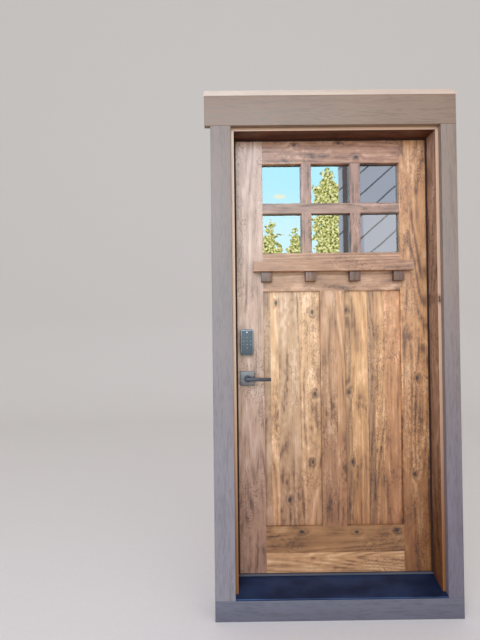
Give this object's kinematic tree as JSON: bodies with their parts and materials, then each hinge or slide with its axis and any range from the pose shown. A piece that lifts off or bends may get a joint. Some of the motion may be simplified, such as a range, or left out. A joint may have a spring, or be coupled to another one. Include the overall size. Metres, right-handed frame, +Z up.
{
  "type": "six lite entry door",
  "caption": "Wooden entry door in its frame: small lites over a dentil shelf and tall flat panels, keypad deadbolt and lever at left, butt hinges, painted casing, metal sill.",
  "frame": {"origin": "on the wall plane, at the underside of the sill, midway between the jambs", "axes": "+X to the right seen from outside, +Y into the house, +Z up"},
  "size_m": [1.1063, 0.214, 2.3178],
  "materials": {
    "jamb_wood": "stained, satin",
    "painted_trim": "embossed grain, taupe paint",
    "sill_metal": "dark anodised, satin",
    "sill_cap": "matte",
    "drip_metal": "cream paint",
    "seal": "matte",
    "hinge_metal": "dark bronze",
    "screw_metal": "dark bronze",
    "lock_bronze": "dark bronze, brushed",
    "keypad_metal": "slate, satin",
    "keypad_glass": "gloss",
    "cover_plastic": "matte",
    "door_wood": "knotty, stained, satin",
    "panel_wood": "edge-glued staves, stained, satin",
    "shelf_wood": "stained, satin",
    "lite_glass": "clear"
  },
  "bodies": {
    "frame": {"latch_jamb": "jamb_wood", "hinge_jamb": "jamb_wood", "head_jamb": "jamb_wood", "sill": "sill_metal", "sill_cap": "sill_cap", "head_casing": "painted_trim", "latch_side_casing": "painted_trim", "hinge_side_casing": "painted_trim", "sill_trim_board": "painted_trim", "drip_cap": "drip_metal", "latch_side_weatherstrip": "seal", "hinge_side_weatherstrip": "seal", "head_weatherstrip": "seal", "top_hinge_frame_plate": "hinge_metal", "middle_hinge_frame_plate": "hinge_metal", "bottom_hinge_frame_plate": "hinge_metal", "hinge_pins": "hinge_metal", "frame_screws": "screw_metal", "latch_strike_plate": "lock_bronze", "deadbolt_strike_plate": "lock_bronze"},
    "leaf": {"hinge_stile": "door_wood", "latch_stile": "door_wood", "top_rail": "door_wood", "shelf_rail": "door_wood", "bottom_rail": "door_wood", "centre_mullion": "door_wood", "left_panel": "panel_wood", "right_panel": "panel_wood", "left_glazing_bar": "door_wood", "right_glazing_bar": "door_wood", "level_glazing_bar": "door_wood", "upper_left_lite": "lite_glass", "upper_middle_lite": "lite_glass", "upper_right_lite": "lite_glass", "lower_left_lite": "lite_glass", "lower_middle_lite": "lite_glass", "lower_right_lite": "lite_glass", "shelf": "shelf_wood", "dentil_1": "shelf_wood", "dentil_2": "shelf_wood", "dentil_3": "shelf_wood", "dentil_4": "shelf_wood", "door_sweep": "seal", "top_hinge_leaf_plate": "hinge_metal", "middle_hinge_leaf_plate": "hinge_metal", "bottom_hinge_leaf_plate": "hinge_metal", "leaf_screws": "screw_metal", "keypad_housing": "keypad_metal", "keypad_face": "keypad_glass", "interior_lock_housing": "keypad_metal", "battery_cover": "cover_plastic", "deadbolt_case": "lock_bronze", "latch_case": "lock_bronze", "exterior_rosette": "lock_bronze", "interior_rosette": "lock_bronze"},
    "levers": {"exterior_lever": "lock_bronze", "interior_lever": "lock_bronze"},
    "latch_bolt": {"latch_bolt": "lock_bronze"},
    "deadbolt": {"deadbolt": "lock_bronze"},
    "thumbturn": {"thumbturn": "lock_bronze"}
  },
  "joints": [
    {"name": "leaf_swing", "type": "hinge", "parent": "frame", "child": "leaf", "pos_m": [0.4587, 0.14035, 1.1043], "axis": [0, 0, -1], "range_deg": [0, 110]},
    {"name": "lever_turn", "type": "hinge", "parent": "leaf", "child": "levers", "pos_m": [-0.3969, 0.11113, 0.9437], "axis": [0, 1, 0], "range_deg": [0, 50], "stiffness_Nm_per_rad": 0.8, "springref_deg": -51.57},
    {"name": "latch_slide", "type": "slide", "parent": "leaf", "child": "latch_bolt", "axis": [-1, 0, 0], "range_m": [0, 0.0127]},
    {"name": "thumb_turn", "type": "hinge", "parent": "leaf", "child": "thumbturn", "pos_m": [-0.3969, 0.11113, 1.0834], "axis": [0, 1, 0], "range_deg": [0, 90]},
    {"name": "deadbolt_slide", "type": "slide", "parent": "leaf", "child": "deadbolt", "axis": [-1, 0, 0], "range_m": [0, 0.0254]}
  ],
  "couplings": [
    {"joint": "thumb_turn", "follows": "deadbolt_slide", "rad_per_m": 61.842}
  ]
}
